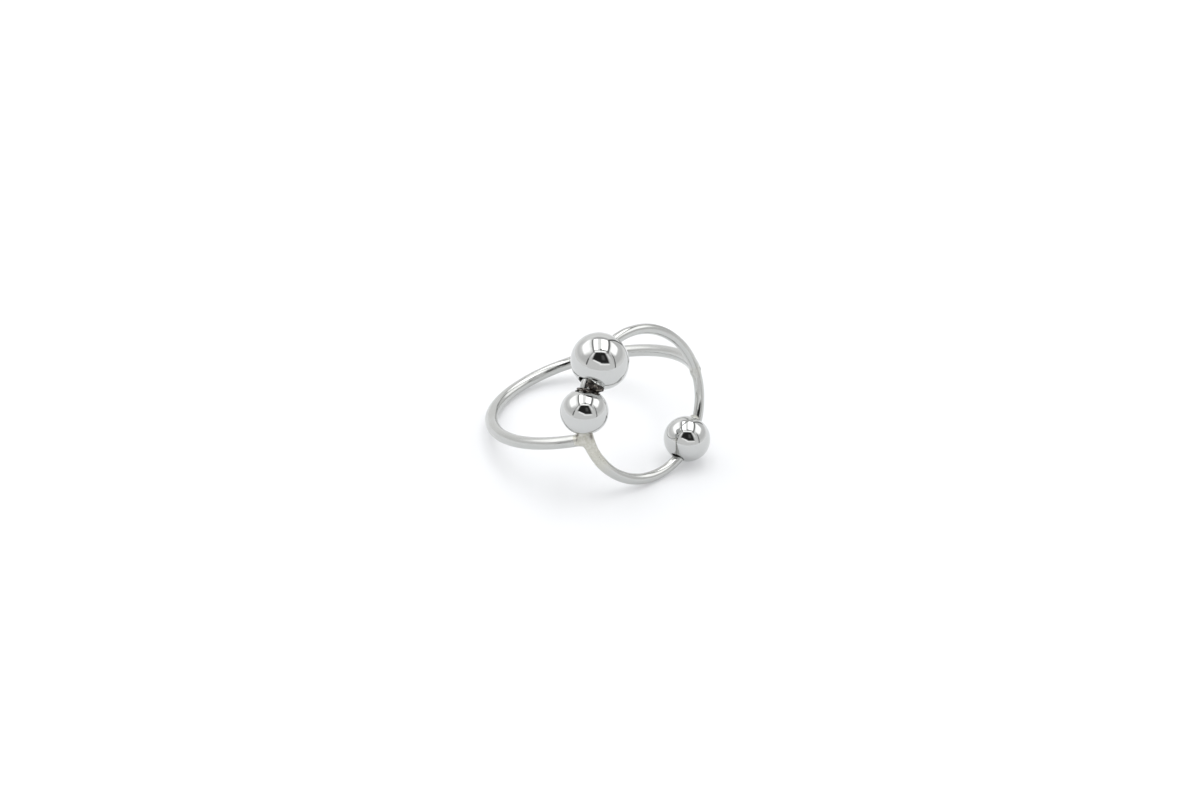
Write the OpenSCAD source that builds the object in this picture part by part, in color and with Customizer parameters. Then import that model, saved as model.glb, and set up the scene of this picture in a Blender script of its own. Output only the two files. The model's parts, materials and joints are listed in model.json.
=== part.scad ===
// Finger ring of round silver wire. An oval band stays open at the front, and its two ends are
// soldered to opposite sides of an upright open hoop, which would lie across the top of the finger.
// Three polished hollow beads are threaded on the hoop's wire.
// The ring lies as it would by itself, on the back of its band and the bottom of its hoop.
//
// Ring axes, before it is laid down: X runs from the near joint to the far joint, Y from the hoop
// to the back of the band, and Z along the finger. The hoop stands in the XZ plane, and an angle on
// it is counted from +X towards +Z. Lengths are in millimetres.

/* [Hoop] */
// Radius of the hoop, to the middle of its wire
hoop_r = 6.6; // [6.2:0.1:7]
// Diameter of the hoop's wire
hoop_wire = 0.95; // [0.85:0.05:1]

/* [Band] */
// Half the width of the band's oval, side to side, to the middle of its wire
band_half_w = 8.86; // [8.6:0.02:9.2]
// Half the depth of the band's oval, front to back, to the middle of its wire
band_half_d = 10.2; // [9.8:0.1:10.4]
// Radius of the oval's round back, to the middle of its wire
band_back_r = 8.05; // [7.8:0.05:8.3]
// Diameter of the band's wire
band_wire = 1.12; // [1:0.02:1.2]

/* [Large bead] */
// Diameter of the large bead, across its hole
large_across = 5.16; // [4.9:0.02:5.2]
// Length of the large bead, along its hole
large_along = 4.84; // [4.6:0.02:4.9]
// Place of the large bead on the hoop, in degrees
large_angle = 116.5; // [116:0.1:117]

/* [Medium bead] */
// Diameter of the medium bead, across its hole
medium_across = 4.22; // [4:0.02:4.26]
// Length of the medium bead, along its hole
medium_along = 3.94; // [3.8:0.02:3.96]
// Place of the medium bead on the hoop, in degrees
medium_angle = 158.9; // [158.5:0.1:159]

/* [Small bead] */
// Diameter of the small bead, across its hole
small_across = 4.14; // [3.9:0.02:4.2]
// Length of the small bead, along its hole
small_along = 3.94; // [3.7:0.02:4]
// Place of the small bead on the hoop, in degrees
small_angle = -56.6; // [-60:0.1:-52]

/* [Bead metal] */
// Thickness of the beads' sheet
bead_wall = 0.2; // [0.2:0.05:0.4]
// Diameter of the wide holes where the large and the medium bead face each other
wide_hole = 1.6; // [1.55:0.05:1.7]
// Diameter of the small bead's lower hole
small_hole = 1.2; // [1.15:0.05:1.5]

/* [Solder] */
// Diameter of the solder round each joint of band and hoop
joint_d = 1.36; // [1.3:0.02:1.38]
// Diameter of the solder that runs along the wire from the large bead into the medium bead
lump_d = 1.2; // [1.1:0.05:1.25]
// Diameter of the rough drop of solder in the corner between these two beads
drop_d = 1.9; // [1.6:0.05:2]

/* [Resting place] */
// Lean of the ring towards its two upper beads, in degrees, at which it balances
side_lean = 5.5; // [4.8:0.1:8]

/* [Hidden] */
$fn = 96;

// Gap between a bead and the wire that passes through it or beside it
thread_gap = 0.05;
// How much wider the wire is where its two arcs meet, which makes it one piece and is too small to see
bend_extra = 0.02;
// How far each bead's middle lies inside the hoop's circle: the hole is straight and the wire is bent
large_inset = 0.33;
medium_inset = 0.15;
small_inset = 0.35;
// How far the solder reaches into each of the wide holes
lump_reach = 0.35;
// Place of the drop of solder on the hoop, and how far its middle lies inside the hoop's circle and
// in front of it
drop_angle = 140;
drop_in = 0.5;
drop_front = 0.2;
// How far the drop stays from the beads, which is a little more than half their gap
drop_gap = 0.06;
// Length of the drill that opens a bead's hole, from the bead's middle
drill_h = 4;
// Radius of the hole left at a bead's poles, which the wire's channel clears
pole_hole_r = 0.2;

// The oval is a round back between two flatter sides. The middle of the back's arc lies behind the
// oval's middle, and a side's arc has its middle beyond the oval's middle line
back_off = band_half_d - band_back_r;
side_r = (pow(band_half_w, 2) + pow(back_off, 2) - pow(band_back_r, 2))
    / (2 * (band_half_w - band_back_r));
side_off = side_r - band_half_w;
// Angle on a side's arc where the back's arc takes over, and where the wire meets the hoop
turn_angle = atan2(back_off, side_off);
joint_angle = acos((hoop_r + side_off) / side_r);
// The band meets the hoop's two sides, so the oval's middle lies this far behind the hoop
band_y = side_r * sin(joint_angle);

// A bead's outline is an arc of this radius, its middle off the hole's line, so the bead is a
// little flatter along its hole
function arc_r(across, along) = (across + along * along / across) / 4;
function arc_off(across, along) = (across - along * along / across) / 4;
// Half the length that a hole of radius r leaves of a bead
function rim_h(across, along, r) =
    sqrt(pow(arc_r(across, along), 2) - pow(r - arc_off(across, along), 2));

function unit(v) = v / norm(v);

// How far each part reaches from the hoop's middle along the unit vector w, in ring axes
function hoop_reach(w) = hoop_r * norm([w.x, w.z]) + hoop_wire / 2;
function oval_reach(w) = atan2(w.y, abs(w.x)) > turn_angle
    ? back_off * w.y + band_back_r * norm([w.x, w.y])
    : side_r * norm([w.x, w.y]) - side_off * abs(w.x);
function band_reach(w) = band_y * w.y + oval_reach(w) + band_wire / 2;
function bead_reach(w, angle, inset, across, along) =
    let (middle = (hoop_r - inset) * [cos(angle), 0, sin(angle)],
         hole = [-sin(angle), 0, cos(angle)],
         off = arc_off(across, along))
    middle * w + off * norm(cross(hole, w)) + arc_r(across, along);
function large_reach(w) = bead_reach(w, large_angle, large_inset, large_across, large_along);
function medium_reach(w) = bead_reach(w, medium_angle, medium_inset, medium_across, medium_along);
function small_reach(w) = bead_reach(w, small_angle, small_inset, small_across, small_along);
function ring_reach(w) =
    max(hoop_reach(w), band_reach(w), large_reach(w), medium_reach(w), small_reach(w));

// The direction that is up for the lying ring, leaning back and to the side by these angles
function up_at(back, side) = [sin(side), -cos(side) * sin(back), cos(side) * cos(back)];
// How much lower the hoop hangs than the band at a lean
function lower(back) = hoop_reach(-up_at(back, side_lean)) - band_reach(-up_at(back, side_lean));
// The backward lean at which both touch the floor, found by Newton's steps
function settled(back, steps) =
    steps == 0 ? back : settled(back - lower(back) / (lower(back + 0.5) - lower(back - 0.5)), steps - 1);
back_lean = settled(20, 8);

// The lying ring's axes, in ring axes
up = up_at(back_lean, side_lean);
right = unit([1, 0, 0] - up.x * up);
away = cross(up, right);
// The ring is moved so that the middle of its box's floor is the origin
shift_x = (ring_reach(-right) - ring_reach(right)) / 2;
shift_y = (ring_reach(-away) - ring_reach(away)) / 2;
shift_z = ring_reach(-up);

module laid_down() {
    multmatrix([
        [right.x, right.y, right.z, shift_x],
        [away.x, away.y, away.z, shift_y],
        [up.x, up.y, up.z, shift_z]
    ])
        children();
}

// Wire along the hoop's circle, from one angle over a span
module hoop_arc(d, from, span) {
    rotate([90, 0, 0])
        rotate_extrude(angle = span, start = from)
            translate([hoop_r, 0]) circle(d = d);
}

// Moves to a place on the hoop, with Z along the wire towards larger angles
module on_hoop(angle, inset) {
    rotate([90, 0, 0]) rotate([0, 0, angle])
        translate([hoop_r - inset, 0, 0])
            rotate([-90, 0, 0]) children();
}

// Wire along one arc of the band's oval
module band_arc(r, from, to, d) {
    rotate_extrude(angle = to - from, start = from)
        translate([r, 0]) circle(d = d);
}

// The far half of the band: its joint with the hoop, its flatter side, and its back up to the middle.
// With a gap it is the room that a bead leaves for it
module band_half(gap = 0) {
    d = band_wire + 2 * gap;
    translate([hoop_r, 0, 0]) sphere(d = joint_d + 2 * gap);
    translate([-side_off, band_y, 0]) {
        band_arc(side_r, -joint_angle, turn_angle, d);
        rotate([0, 0, turn_angle]) translate([side_r, 0, 0]) sphere(d = d + bend_extra);
    }
    translate([0, band_y + back_off, 0])
        band_arc(band_back_r, turn_angle, 90, d);
}

// The half at the two upper beads
module near_half(gap = 0) {
    mirror([1, 0, 0]) band_half(gap);
}

// A bead's whole outline, grown by the drop's gap: the room that the drop leaves for the bead
module bead_room(angle, inset, across, along) {
    on_hoop(angle, inset)
        rotate_extrude()
            intersection() {
                translate([arc_off(across, along), 0]) circle(r = arc_r(across, along) + drop_gap);
                translate([0, -across]) square([across, 2 * across]);
            }
}

// The rough solder between the large and the medium bead: a sleeve on the wire, which reaches into
// both wide holes, and a drop that fills the corner between the beads
module lump() {
    from = large_angle - lump_reach / hoop_r * 180 / PI
        + atan(rim_h(large_across, large_along, wide_hole / 2) / (hoop_r - large_inset));
    to = medium_angle + lump_reach / hoop_r * 180 / PI
        - atan(rim_h(medium_across, medium_along, wide_hole / 2) / (hoop_r - medium_inset));
    hoop_arc(lump_d, from, to - from);
    difference() {
        on_hoop(drop_angle, drop_in) translate([0, -drop_front, 0]) sphere(d = drop_d);
        bead_room(large_angle, large_inset, large_across, large_along);
        bead_room(medium_angle, medium_inset, medium_across, medium_along);
    }
}

// One bead of thin sheet, with its hole along Z
module bead_shell(across, along) {
    r = arc_r(across, along);
    off = arc_off(across, along);
    rotate_extrude()
        difference() {
            translate([off, 0]) circle(r = r);
            translate([off, 0]) circle(r = r - bead_wall);
            translate([pole_hole_r - across, -across]) square([across, 2 * across]);
        }
}

// A bead in its place, cut clear of the wire. One end, the one at larger angles if end is 1 and the
// other if it is -1, has a hole of this diameter
module threaded_bead(angle, inset, across, along, end, hole) {
    difference() {
        on_hoop(angle, inset) bead_shell(across, along);
        hoop_arc(hoop_wire + 2 * thread_gap, 0, 360);
        on_hoop(angle, inset)
            rotate([end > 0 ? 0 : 180, 0, 0])
                cylinder(d = hole, h = drill_h);
    }
}

module band_and_hoop() {
    color("silver")
        laid_down()
            union() {
                hoop_arc(hoop_wire, 0, 360);
                band_half();
                near_half();
                lump();
            }
}

module large_bead() {
    color("gainsboro")
        laid_down()
            threaded_bead(large_angle, large_inset, large_across, large_along, 1, wide_hole);
}

module medium_bead() {
    color("gainsboro")
        laid_down()
            difference() {
                threaded_bead(medium_angle, medium_inset, medium_across, medium_along, -1, wide_hole);
                near_half(thread_gap);
            }
}

module small_bead() {
    color("gainsboro")
        laid_down()
            threaded_bead(small_angle, small_inset, small_across, small_along, -1, small_hole);
}

band_and_hoop();
large_bead();
medium_bead();
small_bead();
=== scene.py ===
# %% [markdown]
# # A silver wire ring with an open hoop and three beads
#
# This lesson dresses a finger ring. A band of round wire goes round the finger, its two ends are
# soldered to the sides of an open hoop, and three hollow beads are threaded on the hoop. The packed
# model gives the ring's place, so the first step loads it and its record.

# %% Load the imported model
import json

import bpy
import numpy as np
from mathutils import Matrix, Vector


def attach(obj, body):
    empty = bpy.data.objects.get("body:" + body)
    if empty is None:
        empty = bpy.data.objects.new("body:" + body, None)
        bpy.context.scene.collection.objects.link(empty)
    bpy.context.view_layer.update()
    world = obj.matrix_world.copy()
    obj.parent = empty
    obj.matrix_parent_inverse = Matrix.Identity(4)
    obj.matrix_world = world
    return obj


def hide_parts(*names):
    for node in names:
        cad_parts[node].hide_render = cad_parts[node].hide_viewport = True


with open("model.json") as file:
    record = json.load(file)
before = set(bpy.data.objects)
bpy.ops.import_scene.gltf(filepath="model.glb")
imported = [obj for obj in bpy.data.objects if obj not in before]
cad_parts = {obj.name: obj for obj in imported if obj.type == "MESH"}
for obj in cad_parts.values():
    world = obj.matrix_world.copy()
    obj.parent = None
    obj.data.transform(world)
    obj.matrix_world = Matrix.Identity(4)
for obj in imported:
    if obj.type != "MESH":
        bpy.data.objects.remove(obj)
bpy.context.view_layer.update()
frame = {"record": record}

# %% [markdown]
# ## The ring's own axes
#
# The ring lies tilted, which would make every formula long. It is simpler to work out each piece in
# the ring's own axes and turn the points into place at the end. The first axis runs from the near
# joint to the far one, the second from the hoop to the back of the band, and the third along the
# finger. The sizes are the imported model's, to the middle of each wire, and Blender counts in metres.

# %% Sizes of the wires, in metres
MM = 0.001
HOOP_R = 6.6 * MM
HOOP_WIRE = 0.95 * MM
BAND_HALF_W = 8.86 * MM
BAND_HALF_D = 10.2 * MM
BAND_BACK_R = 8.05 * MM
BAND_WIRE = 1.12 * MM
print("inside of the hoop, mm:", round((2 * HOOP_R - HOOP_WIRE) / MM, 2))

# %% [markdown]
# ## The band's oval
#
# Seen along the finger, the band is an oval that is open at the front. It could be an ellipse or a
# curve drawn by hand, but arcs are easier to measure and to walk along. So the oval is a round back
# between two flatter sides, and each side is an arc of one larger circle.

# %% Work out the band's oval
back_off = BAND_HALF_D - BAND_BACK_R
side_r = (BAND_HALF_W**2 + back_off**2 - BAND_BACK_R**2) / (2 * (BAND_HALF_W - BAND_BACK_R))
side_off = side_r - BAND_HALF_W
turn_angle = np.arctan2(back_off, side_off)
joint_angle = np.arccos((HOOP_R + side_off) / side_r)
band_y = side_r * np.sin(joint_angle)
print("radius of the band's sides, mm:", round(side_r / MM, 2))

# %% [markdown]
# ## Where the ring lies
#
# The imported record's finger mount gives the third axis and the middle of the finger's opening. The
# first axis is the one square to it that has no part along the row's Y. Taking them from the record,
# and not as numbers typed again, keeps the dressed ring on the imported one.

# %% Place the ring's axes
mount = {m["name"]: m for m in frame["record"]["mounts"]}["finger"]
along_finger = np.array(mount["axis"])
across = np.cross([0, 1, 0], along_finger)
across = across / np.linalg.norm(across)
to_back = np.cross(along_finger, across)
ring_axes = np.array([across, to_back, along_finger])
opening_middle = (HOOP_WIRE / 2 + band_y + BAND_HALF_D - BAND_WIRE / 2) / 2
hoop_middle = np.array(mount["pos_m"]) - opening_middle * to_back
print("middle of the hoop, mm:", np.round(hoop_middle / MM, 3))


def in_place(points):
    """Turns points from the ring's axes into the row's: each is its three parts times the three
    axes, added to the middle of the hoop."""
    return points @ ring_axes + hoop_middle


# %% [markdown]
# ## The camera
#
# The photo was taken from above the hoop's side with a long lens from near by. The camera is set
# first, so that every later step can be looked at as it is made. A constraint could keep it aimed at
# the ring, but three angles, a distance and an aim say the same and can be read. The aim is given
# beside the hoop's middle, because the ring isn't quite in the middle of the picture.

# %% Set the camera
CAMERA_AZIMUTH = np.radians(-44.56)
CAMERA_ELEVATION = np.radians(33.69)
CAMERA_ROLL = np.radians(1.18)
CAMERA_DISTANCE = 384.2 * MM
AIM_LEFT = 3.656 * MM
AIM_UP = 0.344 * MM
LENS_MM = 131.97
CLIP_START = 10 * MM

camera = bpy.data.objects.new("camera", bpy.data.cameras.new("camera"))
bpy.context.scene.collection.objects.link(camera)
bpy.context.scene.camera = camera
camera.data.lens = LENS_MM
camera.data.clip_start = CLIP_START
turn = Matrix.Rotation(CAMERA_AZIMUTH, 3, "Z") @ Matrix.Rotation(np.pi / 2 - CAMERA_ELEVATION, 3, "X")
turn = turn @ Matrix.Rotation(CAMERA_ROLL, 3, "Z")
aim = Vector(hoop_middle) + turn @ Vector((-AIM_LEFT, AIM_UP, 0))
camera.matrix_world = Matrix.Translation(aim + turn @ Vector((0, 0, CAMERA_DISTANCE))) @ turn.to_4x4()
print("camera, mm:", [round(v / MM, 1) for v in camera.matrix_world.translation])

# %% [markdown]
# ## One mesh from one grid
#
# Every piece here is a grid of points worked out by a formula, so one function makes a mesh from a
# grid. A grid can close on itself along both sides, as a torus does, and where its rows have an end
# the end is closed with a fan of triangles round one middle point.
#
# A face points to the side from which its corners run anticlockwise, and which side that is depends
# on the formula. The volume inside the surface tells: if it comes out negative, the faces point
# inwards, and the corners of each are taken the other way round.


# %% Make a mesh from a grid of points
def volume_inside(corners, triangles):
    """The volume that a closed surface of triangles encloses: the sum of a sixth of the first corner
    times the cross product of the other two. It is negative if the faces point inwards."""
    first, second, third = np.moveaxis(corners[triangles], 1, 0)
    return np.sum(first * np.cross(second, third)) / 6


def grid_piece(name, points, material, node, rows_close, marks=()):
    """Points are rows of rings, in the ring's axes. Each ring closes on itself, and each square
    between two rings and two neighbouring points is a face. The rows close into a loop, or each
    end gets a middle point, the mean of its ring, and triangles to it. Marks are pairs of a name and
    a value at each point, which the material reads as an attribute."""
    rows, cols = points.shape[:2]
    here = np.arange(rows * cols).reshape(rows, cols)
    next_row = np.roll(here, -1, axis=0)
    squares = np.stack([here, np.roll(here, -1, 1), np.roll(next_row, -1, 1), next_row], -1)
    squares = (squares if rows_close else squares[:-1]).reshape(-1, 4)
    fans = np.zeros((0, 3), int)
    flat = in_place(points.reshape(-1, 3))
    if not rows_close:
        ends = flat.reshape(rows, cols, 3)[[0, -1]].mean(axis=1)
        first, last = here[0], here[-1]
        flat = np.vstack([flat, ends])
        first_fan = np.stack([np.roll(first, -1), first, np.full(cols, rows * cols)], -1)
        last_fan = np.stack([last, np.roll(last, -1), np.full(cols, rows * cols + 1)], -1)
        fans = np.vstack([first_fan, last_fan])
    volume = volume_inside(flat, np.vstack([squares[:, :3], squares[:, [0, 2, 3]], fans]))
    if volume < 0:
        squares, fans = squares[:, [0, 3, 2, 1]], fans[:, ::-1]
    mesh = bpy.data.meshes.new(name)
    mesh.from_pydata(flat, [], squares.tolist() + fans.tolist())
    mesh.shade_smooth()
    mesh.materials.append(material)
    for mark, values in marks:
        values = values.reshape(rows * cols, -1)
        if not rows_close:
            values = np.vstack([values, values[[0, -cols]]])
        kind, field = ("FLOAT_VECTOR", "vector") if values.shape[1] == 3 else ("FLOAT", "value")
        attribute = mesh.attributes.new(mark, kind, "POINT")
        attribute.data.foreach_set(field, values.astype(np.float32).ravel())
    piece = bpy.data.objects.new(name, mesh)
    bpy.context.scene.collection.objects.link(piece)
    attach(piece, "root")
    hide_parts(node)
    box = np.round([flat.min(axis=0) / MM, flat.max(axis=0) / MM], 2)
    print(name, "reaches from", box[0], "to", box[1], "mm", end=", and its ")
    print(len(mesh.polygons), "faces hold", round(abs(volume) / MM**3, 2), "cubic mm")
    return piece


# %% [markdown]
# ## Nodes and colours
#
# A material is a small tree of nodes. They could be placed by hand in the shader editor, but written
# down they can be read, named and used again. One function adds any node, and one turns a colour from
# the hex number that a colour picker shows into the linear light that a render counts with. A third
# starts a material, which Blender gives one shader that its colour, roughness and bump go into.

# %% Add a node to a material or a world
def add_node(tree, kind, inputs=(), **settings):
    """Adds one node. Inputs are pairs of a socket's name or number and a value or another socket."""
    node = tree.nodes.new(kind)
    for setting, value in settings.items():
        setattr(node, setting, value)
    for socket, value in inputs:
        if isinstance(value, bpy.types.NodeSocket):
            tree.links.new(value, node.inputs[socket])
        else:
            node.inputs[socket].default_value = value
    return node


# %% Turn a hex colour into linear light
def linear(hex_colour):
    """An sRGB hex colour as linear red, green, blue and alpha: each part over 12.92 when it is
    dark, and otherwise to the power 2.4 after the curve's offset."""
    parts = np.array([int(hex_colour[i : i + 2], 16) / 255 for i in (1, 3, 5)])
    parts = np.where(parts <= 0.04045, parts / 12.92, ((parts + 0.055) / 1.055) ** 2.4)
    return (*parts, 1.0)


print("the middle grey #808080 is this much light:", round(float(linear("#808080")[0]), 3))


# %% Start a material
def new_material(name):
    """A new material, its node tree, and the shader that Blender has put there."""
    material = bpy.data.materials.new(name)
    material.use_nodes = True
    tree = material.node_tree
    return material, tree, tree.nodes["Principled BSDF"]


# %% [markdown]
# ## Polished silver
#
# The beads are silver, buffed to a mirror. Polished silver has no colour of its own to speak of: what
# the eye sees is the room. So the colour is one pale grey and the roughness is low, and what breaks
# the mirror is very faint waves that a buffing wheel leaves and fine smears from a cloth. Both are
# noises as wide as the real marks, because a picture of scratches would stretch over a round bead.

# %% Polished silver
SILVER = "#CACBCA"
BUFFING_WAVE = 1.6 * MM
BUFFING_DEPTH = 0.003 * MM
SMEAR = 0.12 * MM
CLEAN_ROUGH = 0.04
SMEARED_ROUGH = 0.1


def polished_silver(name):
    """Silver whose normal is tilted by a soft noise the size of a buffing wave, and whose roughness
    changes a little from place to place, as where fingers or a cloth have left a smear."""
    material, tree, shader = new_material(name)
    place = add_node(tree, "ShaderNodeTexCoord").outputs["Object"]
    waves = add_node(tree, "ShaderNodeTexNoise", [("Vector", place), ("Scale", 1 / BUFFING_WAVE)])
    smears = add_node(
        tree, "ShaderNodeTexNoise", [("Vector", place), ("Scale", 1 / SMEAR), ("Detail", 4.0)]
    )
    bump = add_node(
        tree, "ShaderNodeBump", [("Height", waves.outputs[0]), ("Distance", BUFFING_DEPTH)]
    )
    rough = add_node(
        tree,
        "ShaderNodeMapRange",
        [("Value", smears.outputs[0]), ("To Min", CLEAN_ROUGH), ("To Max", SMEARED_ROUGH)],
    )
    shader.inputs["Base Color"].default_value = linear(SILVER)
    shader.inputs["Metallic"].default_value = 1.0
    tree.links.new(rough.outputs[0], shader.inputs["Roughness"])
    tree.links.new(bump.outputs[0], shader.inputs["Normal"])
    return material


bead_silver = polished_silver("polished_silver_bead")
print(bead_silver.name, "has", len(bead_silver.node_tree.nodes), "nodes")

# %% [markdown]
# ## Filed and rubbed wire
#
# The wires are the same silver, but they were only rubbed with emery along their length and then
# quickly buffed. So they carry fine marks that follow the wire and a softer shine. The marks are a
# noise that is stretched along the wire, and it needs a place that knows which way the wire runs:
# each wire keeps one as an attribute, made of the length along the wire and the two ways across it.
#
# Just past the near joint the hoop's wire is dull: surplus solder was filed off it there. A second
# attribute, dull, says how much, and it makes the metal rougher, a little yellower and pitted. The
# colour and the pits come first, because the solder uses the colour again.

# %% The dull stretch's colour and pits
WORN_SILVER = "#C2C3C1"
DULL_SILVER = "#C9C8BF"
# How wide the pits are, how dull the metal is between them, and the two values of the noise where
# they begin and where they are full.
DULL_PIT = 0.16 * MM
DULL_LEAST = 0.5
DULL_NOISE = (0.35, 0.6)


def worn_colour(tree, dull):
    """The wire's own silver where dull is 0, and the filed stretch's where it is 1."""
    return add_node(
        tree,
        "ShaderNodeMix",
        [("Factor", dull), ("A", linear(WORN_SILVER)), ("B", linear(DULL_SILVER))],
        data_type="RGBA",
    )


def dull_patches(tree, grain, dull):
    """How dull each place is: dull times a fine noise, which runs from the least value up to 1."""
    pits = add_node(
        tree, "ShaderNodeTexNoise", [("Vector", grain), ("Scale", 1 / DULL_PIT), ("Detail", 4.0)]
    )
    patchy = add_node(
        tree,
        "ShaderNodeMapRange",
        [
            ("Value", pits.outputs[0]),
            ("From Min", DULL_NOISE[0]),
            ("From Max", DULL_NOISE[1]),
            ("To Min", DULL_LEAST),
        ],
    )
    return add_node(
        tree, "ShaderNodeMath", [(0, dull), (1, patchy.outputs[0])], operation="MULTIPLY"
    )


print("the dull stretch's pits are", round(DULL_PIT / MM, 2), "mm wide")

# %% [markdown]
# ## The rubbed silver
#
# Emery leaves marks of about 0.02 mm. They are too fine to show in a picture of the whole ring, so
# they are drawn about three times as wide. A noise has no direction of its own: it is stretched by
# dividing its places by the marks' length along the wire and by their width across it. A second, wide
# noise makes the wire duller in some places than in others.

# %% Rubbed silver
MARK_LENGTH = 2.4 * MM
MARK_WIDTH = 0.07 * MM
STAIN = 0.9 * MM
STAIN_NOISE = (0.35, 0.65)
# How much rougher the dull stretch is than the rest of the wire, and how deep its pits are.
DULL_ROUGHNESS = 0.2
DULL_DEPTH = 0.012 * MM


def rubbed_silver(name, low_rough, high_rough, mark_depth):
    """Silver with fine marks along the wire: a noise in the grain's places, each divided by the
    marks' own length or width, drives a shallow bump. A wide noise changes how rough the wire is.
    The dull patches add pits and roughness of their own."""
    material, tree, shader = new_material(name)
    grain = add_node(tree, "ShaderNodeAttribute", attribute_name="grain").outputs["Vector"]
    stretched = add_node(
        tree,
        "ShaderNodeVectorMath",
        [(0, grain), (1, (1 / MARK_LENGTH, 1 / MARK_WIDTH, 1 / MARK_WIDTH))],
        operation="MULTIPLY",
    )
    lines = add_node(
        tree, "ShaderNodeTexNoise", [("Vector", stretched.outputs[0]), ("Scale", 1.0), ("Detail", 3.0)]
    )
    stains = add_node(tree, "ShaderNodeTexNoise", [("Vector", grain), ("Scale", 1 / STAIN)])
    bump = add_node(tree, "ShaderNodeBump", [("Height", lines.outputs[0]), ("Distance", mark_depth)])
    rough = add_node(
        tree,
        "ShaderNodeMapRange",
        [
            ("Value", stains.outputs[0]),
            ("From Min", STAIN_NOISE[0]),
            ("From Max", STAIN_NOISE[1]),
            ("To Min", low_rough),
            ("To Max", high_rough),
        ],
    )
    dull = add_node(tree, "ShaderNodeAttribute", attribute_name="dull").outputs["Fac"]
    patches = dull_patches(tree, grain, dull)
    colour = worn_colour(tree, dull)
    duller = add_node(
        tree,
        "ShaderNodeMath",
        [(0, patches.outputs[0]), (1, DULL_ROUGHNESS), (2, rough.outputs[0])],
        operation="MULTIPLY_ADD",
    )
    pitted = add_node(
        tree,
        "ShaderNodeBump",
        [("Height", patches.outputs[0]), ("Distance", DULL_DEPTH), ("Normal", bump.outputs[0])],
    )
    shader.inputs["Metallic"].default_value = 1.0
    tree.links.new(colour.outputs["Result"], shader.inputs["Base Color"])
    tree.links.new(duller.outputs[0], shader.inputs["Roughness"])
    tree.links.new(pitted.outputs[0], shader.inputs["Normal"])
    return material


print("marks along the wires, mm:", MARK_LENGTH / MM, "long and", round(MARK_WIDTH / MM, 2), "wide")

# %% [markdown]
# ## Two wires, two finishes
#
# The hoop's wire is the one on show, and it was buffed longer than the band's. They could share one
# finish, but side by side in the photo the band's shine is wider and softer. So one function makes
# both, and the roughness and the depth of the marks are its arguments.

# %% The silver of the two wires
hoop_silver = rubbed_silver(
    "rubbed_silver_hoop_wire", low_rough=0.06, high_rough=0.17, mark_depth=0.003 * MM
)
band_silver = rubbed_silver(
    "rubbed_silver_band_wire", low_rough=0.13, high_rough=0.27, mark_depth=0.004 * MM
)
print("made", hoop_silver.name, "and", band_silver.name)

# %% [markdown]
# ## The hoop
#
# The hoop is a circle of wire. A torus would do, but drawn wire that is bent and filed by hand isn't
# the same thickness all the way: this one is thicker on the near side, and it wavers a little, as
# the band's wire does. So each ring of points has its own radius.

# %% How a wire wavers
TAU = 2 * np.pi
WAVER = 0.006
WAVES = 3 * np.arange(1, 7)
rng = np.random.default_rng(7)
waver_phases = rng.uniform(0, TAU, (2, len(WAVES)))


def full_turn(steps):
    """Evenly spaced angles once round, without the last one, which is the first again."""
    return np.arange(steps) / steps * TAU


def waver(turns, which):
    """How much thicker or thinner a wire is than its mean: a sum of six cosines, of 3 to 18 waves in
    the whole length, with random phases. The turns run from 0 to 1 along the wire."""
    return WAVER * np.sum(np.cos(TAU * WAVES * turns[..., None] + waver_phases[which]), -1)


print("share by which the hoop's wire is thicker, at 8 places:", waver(np.arange(8) / 8, 0).round(3))

# %% [markdown]
# ## The hoop's wire
#
# The middle of the wire goes round the circle, and a small circle of points goes round the middle.
# The same two angles also give the grain's places, and the first of them gives the dull stretch.

# %% The hoop's wire
# The wire's near side is thicker than its mean by this share of it, and its far side thinner.
HOOP_TAPER = 0.093
HOOP_STEPS = 480
WIRE_AROUND = 48
# The stretch that was filed: its middle and half its length, as angles on the hoop.
DULL_MIDDLE, DULL_HALF = np.radians(186), np.radians(23)


def hoop_place(angle, out, back):
    """A point on a ring round the hoop's wire: the hoop's circle at this angle, plus a part out
    from the middle of the hoop and a part towards the back of the band."""
    reach = HOOP_R + out
    return np.stack([reach * np.cos(angle), back + 0 * angle, reach * np.sin(angle)], -1)


def hoop_half(angle):
    """Half the wire's thickness: its mean, less a cosine of the angle, with the waver."""
    return HOOP_WIRE / 2 * (1 - HOOP_TAPER * np.cos(angle) + waver(angle / TAU, 0))


def dull_at(angle):
    """A flat-topped bell over the filed stretch, to the fourth power of how far the angle is off."""
    return np.exp(-(((angle % TAU - DULL_MIDDLE) / DULL_HALF) ** 4))


angle, around = np.meshgrid(full_turn(HOOP_STEPS), full_turn(WIRE_AROUND), indexing="ij")
half = hoop_half(angle)
hoop_points = hoop_place(angle, half * np.cos(around), half * np.sin(around))
grain = np.stack([HOOP_R * angle, half * np.cos(around), half * np.sin(around)], -1)
marks = [("grain", grain), ("dull", dull_at(angle))]
grid_piece("hoop_wire", hoop_points, hoop_silver, "band_and_hoop", True, marks)

# %% [markdown]
# ## The band
#
# The band's path is the oval: a side, the round back, the other side. A curve with a round bevel
# would give the tube, but not its waver and its thinner end. Here the points are spaced evenly by
# length, so the arcs are laid end to end as one line of angles and radii.

# %% The band's wire
# The wire is a little flattened: its thickness across the oval, and along the finger.
BAND_OUT = 1.15 * MM
BAND_ALONG = 1.08 * MM
BAND_STEPS = 520
# The far end was filed thinner: by this share of its thickness, over this share of its length.
FAR_TAPER = 0.14
FAR_TAPER_LENGTH = 0.04


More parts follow.
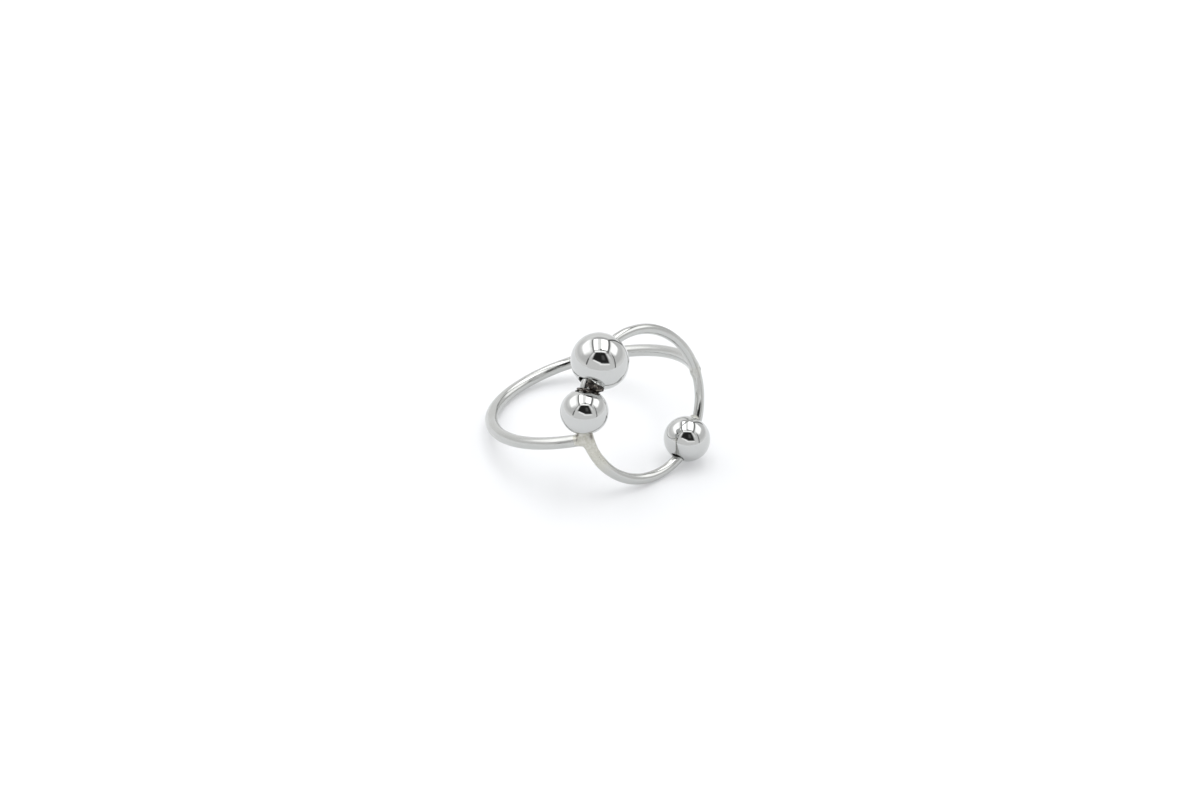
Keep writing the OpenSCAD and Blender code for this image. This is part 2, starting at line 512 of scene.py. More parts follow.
def band_path(share):
    """Places and outward directions on the oval, where share runs from 0 at the far joint to 1 at
    the near one. A share of a side is an angle on the side's circle, and a share of the back is an
    angle on the back's circle; the near half is the far half mirrored."""
    side_length = side_r * (joint_angle + turn_angle)
    back_length = BAND_BACK_R * (np.pi / 2 - turn_angle)
    length = (side_length + back_length) * (1 - np.abs(1 - 2 * share))
    on_side = length < side_length
    angle = np.where(
        on_side,
        length / side_r - joint_angle,
        turn_angle + (length - side_length) / BAND_BACK_R,
    )
    radius = np.where(on_side, side_r, BAND_BACK_R)
    x = np.where(on_side, -side_off, 0) + radius * np.cos(angle)
    y = band_y + np.where(on_side, 0, back_off) + radius * np.sin(angle)
    mirror = np.where(share > 0.5, -1, 1)
    zero = np.zeros_like(x)
    place = np.stack([mirror * x, y, zero], -1)
    out = np.stack([mirror * np.cos(angle), np.sin(angle), zero], -1)
    return place, out


share, around = np.meshgrid(np.linspace(0, 1, BAND_STEPS), full_turn(WIRE_AROUND), indexing="ij")
place, out = band_path(share)
up = np.array([0, 0, 1.0])
thick = 1 + np.sin(np.pi * share) * waver(share, 1)
thick = thick - FAR_TAPER * np.exp(-((share / FAR_TAPER_LENGTH) ** 2))
side_way, up_way = thick * BAND_OUT / 2 * np.cos(around), thick * BAND_ALONG / 2 * np.sin(around)
band_points = place - side_way[..., None] * out + up_way[..., None] * up
band_length = 2 * (side_r * (joint_angle + turn_angle) + BAND_BACK_R * (np.pi / 2 - turn_angle))
marks = [("grain", np.stack([band_length * share, side_way, up_way], -1))]
grid_piece("band_wire", band_points, band_silver, "band_and_hoop", False, marks)
print("length of the band's wire, mm:", round(band_length / MM, 1))

# %% [markdown]
# ## The joints
#
# Where wire meets wire the solder has run into the corner and left a small hollow curve. Two crossed
# tubes would show a hard crease there. Instead the joint is a surface seen from its own middle: for
# every direction, the distance at which a smooth union of the two wires ends, found by halving.

# %% Distances to the wires
# How far from the hoop's middle line the band's wire ends inside the solder.
BAND_END = 0.3 * MM


def to_hoop(points):
    """How far points lie outside the hoop's wire: the distance to the circle, less half the wire."""
    x, y, z = np.moveaxis(points, -1, 0)
    return np.hypot(np.hypot(x, z) - HOOP_R, y) - hoop_half(np.arctan2(z, x))


def to_band(points):
    """How far points lie outside the band's wire near its ends: the distance to the side's circle,
    which stops a little short of the hoop's middle line, less half the wire."""
    x, y, z = np.abs(points[..., 0]) + side_off, points[..., 1] - band_y, points[..., 2]
    angle = np.maximum(np.arctan2(y, x), BAND_END / side_r - joint_angle)
    dx, dy = x - side_r * np.cos(angle), y - side_r * np.sin(angle)
    gone = (angle + joint_angle) * side_r / band_length / FAR_TAPER_LENGTH
    thick = 1 - np.where(points[..., 0] > 0, FAR_TAPER, 0) * np.exp(-(gone**2))
    return np.sqrt(dx**2 + dy**2 + (z * BAND_OUT / BAND_ALONG) ** 2) - thick * BAND_OUT / 2


def smooth_union(a, b, blend):
    """The smaller of two distances, less a bump where they are within the blend of each other."""
    near = np.maximum(blend - np.abs(a - b), 0) / blend
    return np.minimum(a, b) - near**2 * blend / 4


far_middle = np.array([HOOP_R, 0, 0])
far_depth = -to_hoop(far_middle) / MM
print("depth of the far joint's middle in the hoop's wire, mm:", round(float(far_depth), 2))

# %% [markdown]
# ## Filed solder
#
# Silver solder is a little yellower than silver. At the joints it was filed and not buffed, so it is
# blotchy and pitted, and the flame left soot in a seam round the end of the band's wire. The corners
# under the bead get painted shade in the same dark colour. Both could be painted on by hand, but
# attributes worked out from places in mm stay right when the shape changes. They are the soot and
# painted shade, dull as on the wire, and filed, which falls away towards the solder's edge so that the
# edge hardly shows.

# %% The colour of filed solder
SOLDER = "#BDBCB1"
SOLDER_LIGHT = "#CFCEC8"
BLOTCH_NOISE = (0.4, 0.6)


def solder_colour(tree, pits, filed, dull):
    """Two colours of solder, mixed by the noise of its pits, where filed is 1. Where filed is 0, as
    at the solder's edge, it is the wire's colour, dull or not."""
    blotches = add_node(
        tree,
        "ShaderNodeMapRange",
        [("Value", pits), ("From Min", BLOTCH_NOISE[0]), ("From Max", BLOTCH_NOISE[1])],
    )
    body = add_node(
        tree,
        "ShaderNodeMix",
        [("Factor", blotches.outputs[0]), ("A", linear(SOLDER)), ("B", linear(SOLDER_LIGHT))],
        data_type="RGBA",
    )
    wire = worn_colour(tree, dull)
    return add_node(
        tree,
        "ShaderNodeMix",
        [("Factor", filed), ("A", wire.outputs["Result"]), ("B", body.outputs["Result"])],
        data_type="RGBA",
    )


print("the solder is", SOLDER, "with blotches of", SOLDER_LIGHT)

# %% [markdown]
# ## Soot and painted shade on the solder
#
# Soot isn't metal, so it darkens the colour and takes away some of the metal's shine as well, and the
# painted shade in the corners does the same. Neither lies evenly: the noise of the pits is added to
# them, and only where both are high does the dark show.
# The roughness runs from the wire's, at the edge, to that of a filed surface.

# %% Filed solder
# The colour of the soot in the seam, and of the painted shade in the corners under the bead.
SOOT_AND_SHADE = "#4A3B30"
SOLDER_PIT = 0.22 * MM
SOLDER_DEPTH = 0.02 * MM
# Soot and painted shade, with the noise, darken the solder between these two values, and never quite
# to the full.
SOOT_AND_SHADE_NOISE = (0.8, 1.5)
SOOT_AND_SHADE_MOST = 0.85
SOOT_AND_SHADE_METAL = 0.5
WIRE_ROUGH, DULL_WIRE_ROUGH, SOLDER_ROUGH = 0.16, 0.28, 0.36


def filed_solder():
    """Solder that was filed but not buffed. The filed attribute is 1 in the middle of the solder and 0
    where it runs out on the wire, and there the roughness is the wire's, dull or not. A noise as wide
    as the pits makes the bump, and lets dark patches through where soot and painted shade are high."""
    material, tree, shader = new_material("filed_silver_solder")
    place = add_node(tree, "ShaderNodeTexCoord").outputs["Object"]
    soot_and_shade = add_node(tree, "ShaderNodeAttribute", attribute_name="soot_and_shade").outputs["Fac"]
    filed = add_node(tree, "ShaderNodeAttribute", attribute_name="filed").outputs["Fac"]
    dull = add_node(tree, "ShaderNodeAttribute", attribute_name="dull").outputs["Fac"]
    pits = add_node(
        tree, "ShaderNodeTexNoise", [("Vector", place), ("Scale", 1 / SOLDER_PIT), ("Detail", 4.0)]
    )
    silver = solder_colour(tree, pits.outputs[0], filed, dull)
    both = add_node(tree, "ShaderNodeMath", [(0, soot_and_shade), (1, pits.outputs[0])], operation="ADD")
    dark = add_node(
        tree,
        "ShaderNodeMapRange",
        [
            ("Value", both.outputs[0]),
            ("From Min", SOOT_AND_SHADE_NOISE[0]),
            ("From Max", SOOT_AND_SHADE_NOISE[1]),
            ("To Max", SOOT_AND_SHADE_MOST),
        ],
    )
    colour = add_node(
        tree,
        "ShaderNodeMix",
        [("Factor", dark.outputs[0]), ("A", silver.outputs["Result"]), ("B", linear(SOOT_AND_SHADE))],
        data_type="RGBA",
    )
    metal = add_node(
        tree,
        "ShaderNodeMapRange",
        [("Value", dark.outputs[0]), ("To Min", 1.0), ("To Max", SOOT_AND_SHADE_METAL)],
    )
    wire_rough = add_node(
        tree,
        "ShaderNodeMapRange",
        [("Value", dull), ("To Min", WIRE_ROUGH), ("To Max", DULL_WIRE_ROUGH)],
    )
    rough = add_node(
        tree,
        "ShaderNodeMapRange",
        [("Value", filed), ("To Min", wire_rough.outputs[0]), ("To Max", SOLDER_ROUGH)],
    )
    depth = add_node(
        tree, "ShaderNodeMath", [(0, filed), (1, pits.outputs[0])], operation="MULTIPLY"
    )
    bump = add_node(
        tree, "ShaderNodeBump", [("Height", depth.outputs[0]), ("Distance", SOLDER_DEPTH)]
    )
    tree.links.new(colour.outputs["Result"], shader.inputs["Base Color"])
    tree.links.new(metal.outputs[0], shader.inputs["Metallic"])
    tree.links.new(rough.outputs[0], shader.inputs["Roughness"])
    tree.links.new(bump.outputs[0], shader.inputs["Normal"])
    return material


solder_silver = filed_solder()
print(solder_silver.name, "has", len(solder_silver.node_tree.nodes), "nodes")

# %% [markdown]
# ## Directions from a middle
#
# The joints, and later the rough lumps, are looked at from their own middles. A grid of two angles
# covers every direction, as parallels and meridians cover a globe. At the poles all the points of a
# ring would fall together, so the first and the last ring stay just off them.

# %% Directions that cover a ball
# Points once round a ball, and the angle between its poles and the first ring of them.
BALL_AROUND = 200
POLE_GAP = 0.01


def ball_angles(rows):
    """Two angles that cover a ball: the lean from one pole to the other, and the turn round it."""
    lean = np.linspace(POLE_GAP, np.pi - POLE_GAP, rows)
    return np.meshgrid(lean, full_turn(BALL_AROUND), indexing="ij")


print("a ball's rings are", round(np.degrees(TAU / BALL_AROUND), 1), "degrees from point to point")

# %% [markdown]
# ## The shape of a joint
#
# The near joint has a full swell of solder, soot and painted shade, and the far one is smaller, with
# one nub that the file left towards the middle of the hoop. The solder runs out on the wires a little
# sooner on one side than on the other, as metal that has flowed does.

# %% The solder at the joints
JOINT_ROWS = 160
JOINT_REACH = 2.1 * MM
HALVINGS = 30
# The solder's edge, as a share of its reach, and the heights of the two waves in the edge.
EDGE, LONG_WAVE, SHORT_WAVE = 0.78, 0.1, 0.08
# How deep the edge sinks into the wire.
SINK = 0.03 * MM
SWELL_WIDTH = 0.8 * MM
# Place of the nub from the joint's middle, in mm.
NUB_PLACE = np.array((-0.45, 0.1, -0.15))
NUB_WIDTH = 0.3 * MM


def joint_points(side, swelling, fillet, nub):
    """Directions from the joint's middle as a grid of two angles, and for each the distance where
    the smooth union ends. The stretch that holds the end is halved again and again. A swell of
    solder is added near the middle, and a nub of it towards the middle of the hoop. The far ends
    sink into the wires, sooner on one side than on the other, so the solder's edge is uneven."""
    lean, turn = ball_angles(JOINT_ROWS)
    way = [side * np.cos(lean), np.sin(lean) * np.cos(turn), side * np.sin(lean) * np.sin(turn)]
    way = np.stack(way, -1)
    middle = np.array([side * HOOP_R, 0, 0])
    edge = EDGE + LONG_WAVE * np.sin(3 * turn + 5 * lean) + SHORT_WAVE * np.sin(7 * turn)
    edge = JOINT_REACH * edge
    low, high = np.zeros_like(lean), np.full_like(lean, JOINT_REACH)
    for _ in range(HALVINGS):
        reach = (low + high) / 2
        points = middle + reach[..., None] * way
        swell = swelling * np.exp(-((reach / SWELL_WIDTH) ** 2))
        from_nub = np.linalg.norm(points - (middle + MM * NUB_PLACE), axis=-1)
        swell += nub * np.exp(-((from_nub / NUB_WIDTH) ** 2))
        sink = SINK * (reach / edge) ** 4
        inside = smooth_union(to_hoop(points), to_band(points), fillet) - swell + sink < 0
        low, high = np.where(inside, reach, low), np.where(inside, high, reach)
    return middle + low[..., None] * way


print("a joint has", JOINT_ROWS * BALL_AROUND, "directions, each searched in", HALVINGS, "halvings")

# %% [markdown]
# ## Dark and filed places
#
# The corners between the solder and the bead above it get painted shade. Soot sits in a seam round the
# end of the band's wire, where the file and the buff can't reach. An image would put them there too,
# but a joint has no flat plan to lay one on. So each dark place is a soft spot with a place in mm.

# %% Where it is dark and where it was filed
FILED_WIDTH = 1.35 * MM
# Dark places on the near joint: where each is in the ring's axes and how wide it is, in mm, and how
# dark. Three are painted shade in the corners under the bead, and four are soot that makes the seam.
SOOT_AND_SHADE_SPOTS = (
    (-7.1, 0.5, 0.57, 0.24, 0.95),
    (-6.5, -0.55, 0.33, 0.24, 0.8),
    (-6.55, -0.6, 0.0, 0.24, 0.5),
    (-7.36, 0.37, 0.44, 0.11, 0.6),
    (-7.45, 0.37, 0.3, 0.1, 0.55),
    (-7.51, 0.38, 0.14, 0.1, 0.6),
    (-7.54, 0.4, -0.03, 0.09, 0.5),
)


def soot_and_shade_at(points):
    """The sum of a round bell over each dark place: soot in the seam, or painted shade in the corners.
    """
    soot_and_shade = np.zeros(points.shape[:2])
    for *spot, width, depth in SOOT_AND_SHADE_SPOTS:
        away = np.linalg.norm(points - MM * np.array(spot), axis=-1)
        soot_and_shade += depth * np.exp(-((away / (width * MM)) ** 2))
    return soot_and_shade


def filed_at(points, middle):
    """A flat-topped bell round the middle of the solder, to the fourth power of the distance."""
    away = np.linalg.norm(points - middle, axis=-1)
    return np.exp(-((away / FILED_WIDTH) ** 4))


print("the near joint has", len(SOOT_AND_SHADE_SPOTS), "dark places")

# %% [markdown]
# ## Make both joints
#
# The two joints differ only in a few numbers, so they are two rows of one table.

# %% Make the joints
# Name, side, how much the solder swells, how wide its hollow curve is, how high its nub is, and how
# rough it was left.
JOINTS = (
    ("near_joint_solder", -1, 0.08 * MM, 0.35 * MM, 0.0, 1.0),
    ("far_joint_solder", 1, 0.0, 0.15 * MM, 0.12 * MM, 0.3),
)
for joint_name, side, *shape, left_rough in JOINTS:
    points = joint_points(side, *shape)
    filed = left_rough * filed_at(points, [side * HOOP_R, 0, 0])
    dull = dull_at(np.arctan2(points[..., 2], points[..., 0]))
    # The dark places are soot in the seam and painted shade in the corners under the bead.
    marks = [("soot_and_shade", soot_and_shade_at(points)), ("filed", filed), ("dull", dull)]
    grid_piece(joint_name, points, solder_silver, "band_and_hoop", False, marks)

# %% [markdown]
# ## The beads
#
# Each bead is a shell turned round its hole. Its outline is an arc whose middle lies off the hole's
# line, which makes the bead a little flatter along the hole, then a rounded rim, the inner arc and
# the other rim. The outline is closed, so the bead is a closed surface with a hole through it. A
# ball cut by a cylinder would be quicker, but it has a sharp edge and no wall to see in the hole.

# %% The shape of a bead
WALL = 0.2 * MM
BEAD_STEPS = 160
BEAD_AROUND = 192
RIM_STEPS = 12


def bead_points(angle, inset, across_hole, along_hole, high_hole, low_hole):
    """Turns a closed outline round the line of the bead's hole. The outline's outer arc and its
    inner arc, one wall further in, run between the two holes, and half circles join their ends."""
    r = (across_hole + along_hole**2 / across_hole) / 4
    off = (across_hole - along_hole**2 / across_hole) / 4
    high = np.arccos((high_hole / 2 + WALL / 2 - off) / (r - WALL / 2))
    low = -np.arccos((low_hole / 2 + WALL / 2 - off) / (r - WALL / 2))
    sweep = np.linspace(high, low, BEAD_STEPS)
    rim = np.linspace(0, np.pi, RIM_STEPS)[1:-1]
    outer = np.stack([off + r * np.cos(sweep), r * np.sin(sweep)], -1)
    inner = np.stack([off + (r - WALL) * np.cos(sweep), (r - WALL) * np.sin(sweep)], -1)[::-1]
    ends = []
    for at, way in ((low, -1), (high, 1)):
        middle = np.array([off + (r - WALL / 2) * np.cos(at), (r - WALL / 2) * np.sin(at)])
        start = at if way < 0 else at + np.pi
        ends.append(middle + WALL / 2 * np.stack([np.cos(start - rim), np.sin(start - rim)], -1))
    outline = np.vstack([outer, ends[0], inner, ends[1]])
    turn = full_turn(BEAD_AROUND)
    radius, height = outline[:, 0, None], outline[:, 1, None]
    outwards = np.array([np.cos(angle), 0, np.sin(angle)])
    place = (HOOP_R - inset) * outwards
    hole = np.array([-np.sin(angle), 0, np.cos(angle)])
    back = np.array([0, 1.0, 0])
    points = place + (radius * np.cos(turn))[..., None] * outwards
    points = points + (radius * np.sin(turn))[..., None] * back
    return points + (height + 0 * turn)[..., None] * hole


print("the outline of a bead has", 2 * (BEAD_STEPS + RIM_STEPS - 2), "points")

# %% [markdown]
# ## The three beads
#
# A hole in a bead is a little wider than the wire. The two upper beads face each other with wide
# holes, where the solder has run in, and the small bead's lower hole is wider than its upper one.

# %% Make the three beads
# Name, place on the hoop in degrees, how far its middle is inside the hoop's circle, its size across
# and along its hole, and the holes at the end with larger angles and at the other end, in mm.
TIGHT, LOOSE, WIDE = 1.05, 1.2, 1.5
BEADS = (
    ("large_bead", 116.5, 0.33, 5.16, 4.84, WIDE, TIGHT),
    ("medium_bead", 158.9, 0.15, 4.22, 3.94, TIGHT, WIDE),
    ("small_bead", -56.6, 0.35, 4.14, 3.94, TIGHT, LOOSE),
)
for node, place_on_hoop, *sizes in BEADS:
    points = bead_points(np.radians(place_on_hoop), *(MM * s for s in sizes))
    grid_piece(node + "_shell", points, bead_silver, node, True)

# %% [markdown]
# ## Burnt solder
#
# Between the large and the medium bead the solder was left as it ran: lumpy, pitted and black from
# the flame, with bare silver where the file has touched it. Its black crust isn't metal to the eye,
# so one noise drives colour, metal and roughness together.

# %% Burnt solder
SOLDER_GREY = "#B5AFA6"
FIRE_BROWN = "#2E221B"
FIRE_BLACK = "#100C0A"
PIT = 0.3 * MM
PIT_DEPTH = 0.05 * MM
# Where in the noise each colour is reached, where the metal begins to show and where it is bare.
BLACK_AT, BROWN_AT, GREY_AT = 0.43, 0.54, 0.62
BARE_NOISE = (0.54, 0.61)
CRUST_ROUGH, BARE_ROUGH = 0.5, 0.16


def burnt_solder():
    """Solder that is bright on its bare places and black or brown and rough elsewhere: a noise as
    wide as the pits goes through a colour ramp, and the bare places alone are metal."""
    material, tree, shader = new_material("burnt_solder")
    place = add_node(tree, "ShaderNodeTexCoord").outputs["Object"]
    pits = add_node(
        tree,
        "ShaderNodeTexNoise",
        [("Vector", place), ("Scale", 1 / PIT), ("Detail", 5.0), ("Roughness", 0.6)],
    )
    colours = add_node(tree, "ShaderNodeValToRGB", [("Fac", pits.outputs[0])])
    ramp = colours.color_ramp
    ramp.elements[0].position, ramp.elements[0].color = BLACK_AT, linear(FIRE_BLACK)
    ramp.elements[1].position, ramp.elements[1].color = GREY_AT, linear(SOLDER_GREY)
    ramp.elements.new(BROWN_AT).color = linear(FIRE_BROWN)
    bare = add_node(
        tree,
        "ShaderNodeMapRange",
        [("Value", pits.outputs[0]), ("From Min", BARE_NOISE[0]), ("From Max", BARE_NOISE[1])],
    )
    rough = add_node(
        tree,
        "ShaderNodeMapRange",
        [("Value", bare.outputs[0]), ("To Min", CRUST_ROUGH), ("To Max", BARE_ROUGH)],
    )
    bump = add_node(tree, "ShaderNodeBump", [("Height", pits.outputs[0]), ("Distance", PIT_DEPTH)])
    tree.links.new(colours.outputs["Color"], shader.inputs["Base Color"])
    tree.links.new(bare.outputs[0], shader.inputs["Metallic"])
    tree.links.new(rough.outputs[0], shader.inputs["Roughness"])
    tree.links.new(bump.outputs[0], shader.inputs["Normal"])
    return material


solder_black = burnt_solder()
print(solder_black.name, "has", len(solder_black.node_tree.nodes), "nodes")

# %% [markdown]
# ## The rough lumps
#
# Molten solder that cools on its own makes round lumps with sharp creases between them. Sculpting
# would give one such lump; a formula gives any number of them. Three flattened balls overlap here:
# one between the beads, a flat one in the medium bead's hole, and one that runs up to the large bead.

# %% The shape of the rough lumps
# Place on the hoop in degrees, how far the middle lies inside the wire's line and in front of it,
# and the half sizes across and along the wire, in mm. The large lump lies off the wire's line,
# because the wire leans on the outer side of the beads' holes. The flat one lies in the rim of the
# medium bead's hole.
LUMPS = (
    ("rough_solder", 138.0, 0.67, 0.25, 0.96, 0.5),
    ("rough_solder_rim", 142.7, 0.06, 0.04, 0.84, 0.22),
    ("rough_solder_top", 136.2, 0.42, 0.3, 0.74, 0.36),
)
# Each set of folds: how fast they follow each other, in radians for one half size across, and how
# high they are, as a share of the lump's reach. Each set has five folds in different directions.
FOLDS = ((3, 0.064), (6, 0.048), (11, 0.028), (19, 0.014))
FOLDS_EACH = 5
MEAN_FOLD = 0.64
LUMP_ROWS = 150


def lump_points(angle, folds, inwards, to_front, half_across, half_along):
    """An uneven ball: in each direction the reach is one plus a sum of folded waves, times the half
    sizes across and along the wire. A folded wave is the cosine of how far the smooth ball reaches in
    a random direction, made positive, which leaves sharp creases between round lumps. Its mean is
    taken off, so the ball keeps its size."""
    lean, turn = ball_angles(LUMP_ROWS)
    way = [np.sin(lean) * np.cos(turn), np.sin(lean) * np.sin(turn), np.cos(lean)]
    way = np.stack(way, -1)
    sizes = np.array([half_across, half_across, half_along])
    smooth = way * sizes / half_across
    reach = np.ones_like(lean)
    for waves, height in folds:
        for _ in range(FOLDS_EACH):
            direction = rng.normal(size=3)
            direction /= np.linalg.norm(direction)
            fold = np.abs(np.cos(waves * (smooth @ direction) + rng.uniform(0, TAU)))
            reach += height * (fold - MEAN_FOLD)
    outwards = np.array([np.cos(angle), 0, np.sin(angle)])
    along = np.array([-np.sin(angle), 0, np.cos(angle)])
    front = np.array([0, -1.0, 0])
    middle = (HOOP_R - inwards) * outwards + to_front * front
    return middle + (reach[..., None] * way * sizes) @ np.array([front, -outwards, along])


print("a lump has", FOLDS_EACH * len(FOLDS), "folds")

# %% [markdown]
# ## Make the rough lumps
#
# Each lump is one more row of the table. They take their random folds one after the other, so the
# order of the rows is part of their shape.

# %% Make the rough lumps
for name, place_on_hoop, *sizes in LUMPS:
    points = lump_points(np.radians(place_on_hoop), FOLDS, *(MM * s for s in sizes))
    grid_piece(name, points, solder_black, "band_and_hoop", False)

# %% [markdown]
# ## The small bead's solder
#
# The small bead was soldered more neatly: a smooth bright drop fills the corner at its upper hole. It
# is a lump like the others, with one soft fold in place of many, in the filed solder's finish.

# %% The small bead's solder
DROP = ("small_bead_solder", -39.4, 0.42, 0.12, 0.46, 0.36)
SOFT_FOLDS = ((2, 0.04),)
DROP_FILED = 0.6
name, place_on_hoop, *sizes = DROP
points = lump_points(np.radians(place_on_hoop), SOFT_FOLDS, *(MM * s for s in sizes))
marks = [("soot_and_shade", soot_and_shade_at(points)), ("filed", np.full(points.shape[:2], DROP_FILED))]
grid_piece(name, points, solder_silver, "band_and_hoop", False, marks)

# %% [markdown]
# ## The white table
#
# The ring lies on a white table. A plain white sheet under one lamp gives grey shadows, and those in
# the photo are very pale, so the table is white acrylic that is lit from below as well.

# %% The white table
TABLE = "#D1D2D4"
GLOW = "#FCFDFE"
FROM_BELOW = 0.3
TABLE_ROUGH = 0.6
FLOOR_R = 110 * MM
FLOOR_CORNERS = 96

table, tree, shader = new_material("white_table")
shader.inputs["Base Color"].default_value = linear(TABLE)
shader.inputs["Emission Color"].default_value = linear(GLOW)
shader.inputs["Emission Strength"].default_value = FROM_BELOW
shader.inputs["Roughness"].default_value = TABLE_ROUGH
corner = full_turn(FLOOR_CORNERS)
rim = FLOOR_R * np.stack([np.cos(corner), np.sin(corner), 0 * corner], -1)
floor_mesh = bpy.data.meshes.new("floor")
floor_mesh.from_pydata(rim, [], [list(range(FLOOR_CORNERS))])
floor_mesh.materials.append(table)
floor = bpy.data.objects.new("floor", floor_mesh)
bpy.context.scene.collection.objects.link(floor)
print("the table is", round(2 * FLOOR_R / MM), "mm wide")

# %% [markdown]
# ## The light tent
#
# A polished thing shows its surroundings. They could be built round the ring as panels and lamps, but
# then each would be one more object that casts light and noise. So the world is a light tent drawn as
# a pattern of directions: lamps overhead, pale walls, posts, and a dark block in the opening in front.
# A direction is scaled until it meets a wall, and there it has a place, as on a plan of that wall.

# %% The plan of the tent
# Each row is a window: its name, the wall that it is on, its middle and half size there, how soft its
# edge is, and its brightness. A half size of ANY reaches across the wall. The leaning wall is the
# front one with its plan turned by WALL_LEAN.
TABLE_BEYOND = 1.0
ANY = 9.0
TENT = (
    ("walls", "around", (0, 0, 2.08), (ANY, ANY, 2.0), 0.14, 0.74),
    ("far wall", "back", (-0.1, 1, 0.85), (0.7, ANY, 0.75), 0.4, 1.05),
    ("left glow", "side", (-1, 0.5, 0.65), (0.5, 0.5, 0.35), 0.25, 1.0),
    ("right glow", "side", (1, 0.5, 0.65), (0.5, 0.5, 0.35), 0.25, 0.82),
    ("ceiling", "ceiling", (0, 0.45, 1), (1.9, 1.0, ANY), 0.2, 0.6),
    ("left panel", "ceiling", (-1.25, 0.5, 1), (0.68, 0.85, ANY), 0.35, 1.85),
    ("right panel", "ceiling", (1.25, 0.4, 1), (0.58, 0.7, ANY), 0.3, 1.85),
    ("between lamps", "ceiling", (-0.02, 0.35, 1), (0.14, 0.56, ANY), 0.04, 1.2),
    ("left lamp", "ceiling", (-0.26, 0.36, 1), (0.12, 0.56, ANY), 0.04, 3.0),
    ("right lamp", "ceiling", (0.29, 0.36, 1), (0.19, 0.54, ANY), 0.04, 3.0),
    ("front light", "ceiling", (0.02, -0.34, 1), (0.4, 0.06, ANY), 0.04, 1.7),
    ("lamp tip", "ceiling", (0.05, -0.2, 1), (0.06, 0.06, ANY), 0.03, 0.15),
    ("left rail", "ceiling", (-0.46, 0.3, 1), (0.06, 0.72, ANY), 0.04, 0.3),
    ("right rail", "ceiling", (0.6, 0.3, 1), (0.08, 0.72, ANY), 0.04, 0.25),
    ("front rail", "ceiling", (0.28, -0.24, 1), (0.3, 0.03, ANY), 0.02, 0.12),
    ("rear corner", "back", (0.56, 1, 0.45), (0.06, ANY, 0.65), 0.04, 0.04),
    ("opening", "front", (0.15, -1, 0.95), (1.35, ANY, 1.2), 0.1, 0.86),
    ("left patch", "front", (-0.98, -1, 1.7), (0.1, ANY, 0.5), 0.1, 1.3),
    ("right patch", "front", (1.1, -1, 1.6), (0.09, ANY, 0.6), 0.08, 1.25),
    ("left post", "front", (-1.42, -1, 1.6), (0.1, ANY, 1.5), 0.05, 0.4),
    ("left foot", "front", (-1.4, -1, 0.5), (0.12, ANY, 0.42), 0.06, 0.06),
    ("right post", "leaning", (1.6, -1, 3.1), (0.14, ANY, 2.6), 0.04, 0.06),
    ("dark block", "front", (0.02, -1, 1.36), (0.8, ANY, 0.98), 0.13, 0.025),
    ("glint in the block", "front", (0.3, -1, 1.1), (0.14, ANY, 0.35), 0.14, 0.12),
    ("below the block", "leaning", (-0.1, -1, 0.1), (1.0, ANY, 0.3), 0.06, 0.86),
    ("left edge", "leaning", (-0.5, -1, 0.37), (0.34, ANY, 0.06), 0.04, 1.4),
    ("right edge", "front", (0.38, -1, 0.33), (0.42, ANY, 0.05), 0.04, 1.4),
)
WALL_LEAN = np.radians(24)
NEARLY_ZERO = 0.001
print("the tent has", len(TENT), "windows")

# %% [markdown]
# ## Directions on the walls
#
# The direction comes from the world's own coordinates and is turned, so that the front wall is on the
# side that the photo was taken from. Dividing it by its part towards a wall gives its place there.

# %% Scale each direction to the walls
world = bpy.data.worlds.new("light_tent")
bpy.context.scene.world = world
world.use_nodes = True
tree = world.node_tree
tree.nodes.clear()
way = add_node(tree, "ShaderNodeTexCoord").outputs["Generated"]
turned = add_node(
    tree,
    "ShaderNodeVectorRotate",
    [("Vector", way), ("Angle", -CAMERA_AZIMUTH)],
    rotation_type="Z_AXIS",
)
leaned = add_node(
    tree,
    "ShaderNodeVectorRotate",
    [("Vector", turned.outputs[0]), ("Angle", -WALL_LEAN)],
    rotation_type="Y_AXIS",
)
parts = add_node(tree, "ShaderNodeSeparateXYZ", [("Vector", turned.outputs[0])])
level = add_node(
    tree, "ShaderNodeVectorMath", [(0, turned.outputs[0]), (1, (1, 1, 0))], operation="MULTIPLY"
)
length = add_node(tree, "ShaderNodeVectorMath", [(0, level.outputs[0])], operation="LENGTH")
towards = add_node(
    tree, "ShaderNodeMath", [(0, parts.outputs["Y"]), (1, -1.0)], operation="MULTIPLY"
)
across_view = add_node(tree, "ShaderNodeMath", [(0, parts.outputs["X"])], operation="ABSOLUTE")
depths = {
    "ceiling": parts.outputs["Z"],
    "back": parts.outputs["Y"],
    "front": towards.outputs[0],
    "leaning": towards.outputs[0],
    "side": across_view.outputs[0],
    "around": length.outputs["Value"],
}
on_wall = {}
for wall, depth in depths.items():
    ahead = add_node(tree, "ShaderNodeMath", [(0, depth), (1, NEARLY_ZERO)], operation="MAXIMUM")
    scale = add_node(tree, "ShaderNodeMath", [(0, 1.0), (1, ahead.outputs[0])], operation="DIVIDE")
    source = leaned if wall == "leaning" else turned
    on_wall[wall] = add_node(
        tree,
        "ShaderNodeVectorMath",
        [(0, source.outputs[0]), ("Scale", scale.outputs[0])],
        operation="SCALE",
    ).outputs[0]
print("walls of the tent:", *on_wall)

# %% [markdown]
# ## Hang the windows
#
# Each window is laid over the ones before it. How far a place is from the window's middle goes
# through a soft step on each of the three axes, and the three steps multiplied are its mask.

# %% Hang the windows
# The vector form of Map Range has these numbers for its sockets.
FROM_MIN, FROM_MAX, TO_MIN, TO_MAX = 7, 8, 9, 10

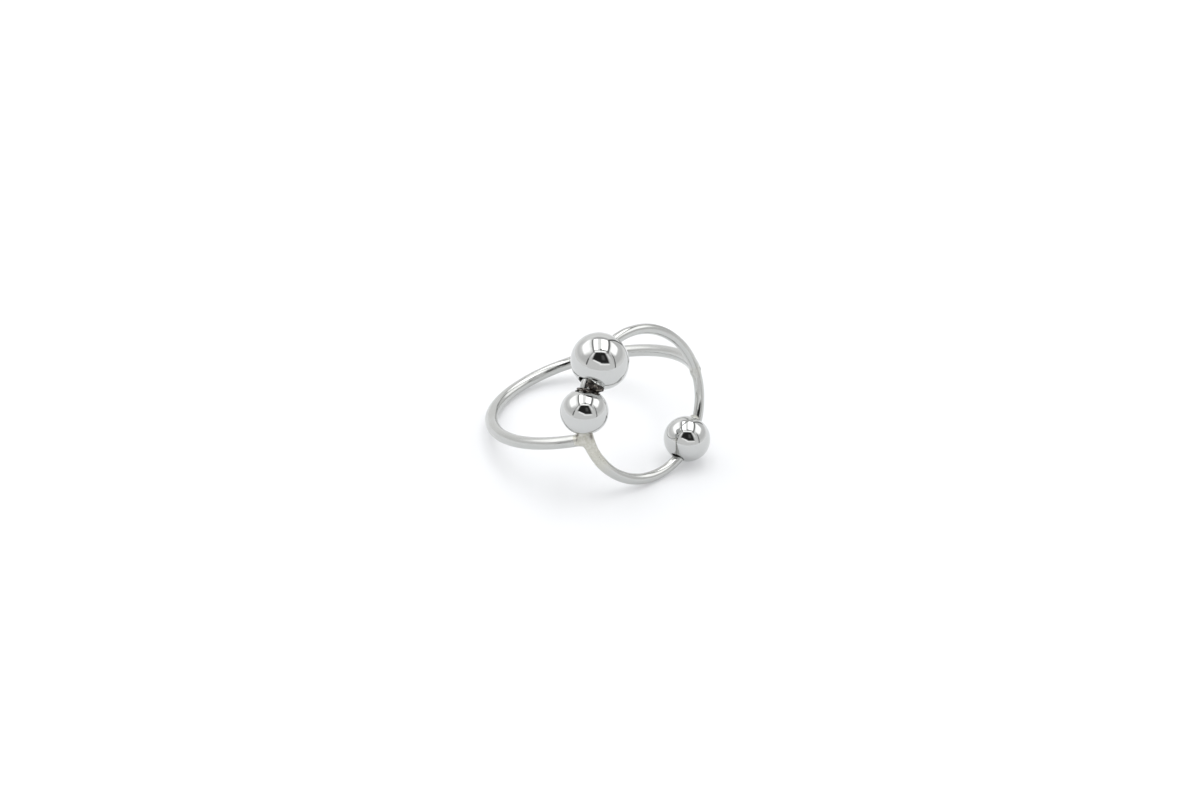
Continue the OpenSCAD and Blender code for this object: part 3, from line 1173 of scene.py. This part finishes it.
bright = TABLE_BEYOND
for title, wall, middle, half_size, soft, brightness in TENT:
    off = add_node(
        tree, "ShaderNodeVectorMath", [(0, on_wall[wall]), (1, middle)], operation="SUBTRACT"
    )
    size = add_node(tree, "ShaderNodeVectorMath", [(0, off.outputs[0])], operation="ABSOLUTE")
    inside = add_node(
        tree,
        "ShaderNodeMapRange",
        [
            ("Vector", size.outputs[0]),
            (FROM_MIN, [h - soft for h in half_size]),
            (FROM_MAX, [h + soft for h in half_size]),
            (TO_MIN, (1, 1, 1)),
            (TO_MAX, (0, 0, 0)),
        ],
        data_type="FLOAT_VECTOR",
        interpolation_type="SMOOTHSTEP",
    )
    three = add_node(tree, "ShaderNodeSeparateXYZ", [("Vector", inside.outputs["Vector"])])
    two = add_node(
        tree, "ShaderNodeMath", [(0, three.outputs[0]), (1, three.outputs[1])], operation="MULTIPLY"
    )
    mask = add_node(
        tree, "ShaderNodeMath", [(0, two.outputs[0]), (1, three.outputs[2])], operation="MULTIPLY"
    )
    mixed = add_node(
        tree, "ShaderNodeMix", [("Factor", mask.outputs[0]), ("A", bright), ("B", brightness)]
    )
    bright = mixed.outputs["Result"]
    mixed.label = title
print("the world has", len(tree.nodes), "nodes")

# %% [markdown]
# ## What the camera sees of the world
#
# Behind the ring the photo is plain white. So the camera's own rays see an even white world, and the
# tent is seen only by the light that falls on the ring and the table and by their reflections.

# %% Finish the world
WHITE = "#FFFFFF"
PLAIN_STRENGTH = 1.05
tent = add_node(tree, "ShaderNodeBackground", [("Color", linear(WHITE)), ("Strength", bright)])
plain = add_node(
    tree, "ShaderNodeBackground", [("Color", linear(WHITE)), ("Strength", PLAIN_STRENGTH)]
)
seen = add_node(tree, "ShaderNodeLightPath")
choice = add_node(
    tree,
    "ShaderNodeMixShader",
    [(0, seen.outputs["Is Camera Ray"]), (1, tent.outputs[0]), (2, plain.outputs[0])],
)
add_node(tree, "ShaderNodeOutputWorld", [("Surface", choice.outputs[0])])
bpy.context.scene.view_settings.view_transform = "Standard"
print("strength of the plain world:", PLAIN_STRENGTH)
